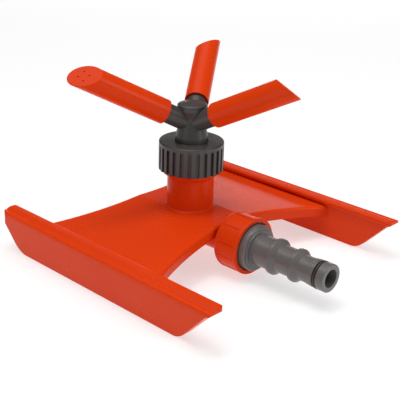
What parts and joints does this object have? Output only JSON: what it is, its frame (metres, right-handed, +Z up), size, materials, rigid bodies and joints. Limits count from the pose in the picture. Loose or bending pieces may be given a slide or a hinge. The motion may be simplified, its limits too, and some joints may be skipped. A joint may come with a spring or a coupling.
{
  "type": "rotary lawn sprinkler",
  "caption": "Rotary lawn sprinkler with three upswept nozzle arms on a threaded post, a two-skid sled base and a push-fit hose spigot.",
  "frame": {"origin": "on the ground, under the middle of the whole sprinkler's outline", "axes": "+Z up along the rotor axis, -Y out of the hose end, +X towards the right-hand skid"},
  "size_m": [0.164, 0.179, 0.1147],
  "materials": {
    "orange_plastic": "glossy moulded orange plastic",
    "grey_plastic": "satin moulded warm grey plastic",
    "dark_grey_plastic": "satin moulded dark grey plastic",
    "black_rubber": "smooth black rubber",
    "white_acetal": "turned white acetal",
    "screen_mesh": "fine moulded sieve"
  },
  "bodies": {
    "sled": {"base_deck": "orange_plastic", "left_skid": "orange_plastic", "right_skid": "orange_plastic", "post_gasket": "black_rubber", "spindle_seal": "black_rubber", "spindle_bush": "white_acetal"},
    "rotor": {"rotor_head": "dark_grey_plastic", "spindle": "white_acetal", "stub_oring_left": "black_rubber", "stub_oring_front": "black_rubber", "stub_oring_rear": "black_rubber"},
    "nut_washer": {"thrust_washer": "white_acetal"},
    "retaining_nut": {"retaining_nut": "dark_grey_plastic"},
    "hose_adapter": {"inlet_adapter": "grey_plastic", "inlet_washer": "black_rubber", "filter_screen": "screen_mesh", "spigot_oring": "black_rubber"},
    "union_nut": {"union_nut": "orange_plastic"},
    "nozzle_left": {"nozzle_tube_left": "orange_plastic"},
    "nozzle_front": {"nozzle_tube_front": "orange_plastic"},
    "nozzle_rear": {"nozzle_tube_rear": "orange_plastic"}
  },
  "joints": [
    {"name": "rotor_spin", "type": "hinge", "parent": "sled", "child": "rotor", "pos_m": [0, 0.0145, 0.0781], "axis": [0, 0, 1], "continuous": true},
    {"name": "retaining_nut_lift", "type": "slide", "parent": "sled", "child": "nut_washer", "axis": [0, 0, 1], "range_m": [0, 0.004]},
    {"name": "retaining_nut_turn", "type": "hinge", "parent": "nut_washer", "child": "retaining_nut", "pos_m": [0, 0.0145, 0.0595], "axis": [0, 0, 1], "range_deg": [0, 720]},
    {"name": "adapter_draw", "type": "slide", "parent": "sled", "child": "hose_adapter", "axis": [0, -1, 0], "range_m": [0, 0.00544]},
    {"name": "union_nut_turn", "type": "hinge", "parent": "hose_adapter", "child": "union_nut", "pos_m": [0, -0.0279, 0.018], "axis": [0, -1, 0], "range_deg": [0, 1080]},
    {"name": "nozzle_twist_left", "type": "hinge", "parent": "rotor", "child": "nozzle_left", "pos_m": [0, 0.0145, 0.0781], "axis": [-0.8132, 0.3621, 0.4555], "continuous": true},
    {"name": "nozzle_twist_front", "type": "hinge", "parent": "rotor", "child": "nozzle_front", "pos_m": [0, 0.0145, 0.0781], "axis": [0.0931, -0.8853, 0.4555], "continuous": true},
    {"name": "nozzle_twist_rear", "type": "hinge", "parent": "rotor", "child": "nozzle_rear", "pos_m": [0, 0.0145, 0.0781], "axis": [0.7202, 0.5233, 0.4555], "continuous": true}
  ],
  "couplings": [
    {"joint": "retaining_nut_turn", "follows": "retaining_nut_lift", "rad_per_m": 3141.6},
    {"joint": "union_nut_turn", "follows": "adapter_draw", "rad_per_m": 3463.7}
  ]
}
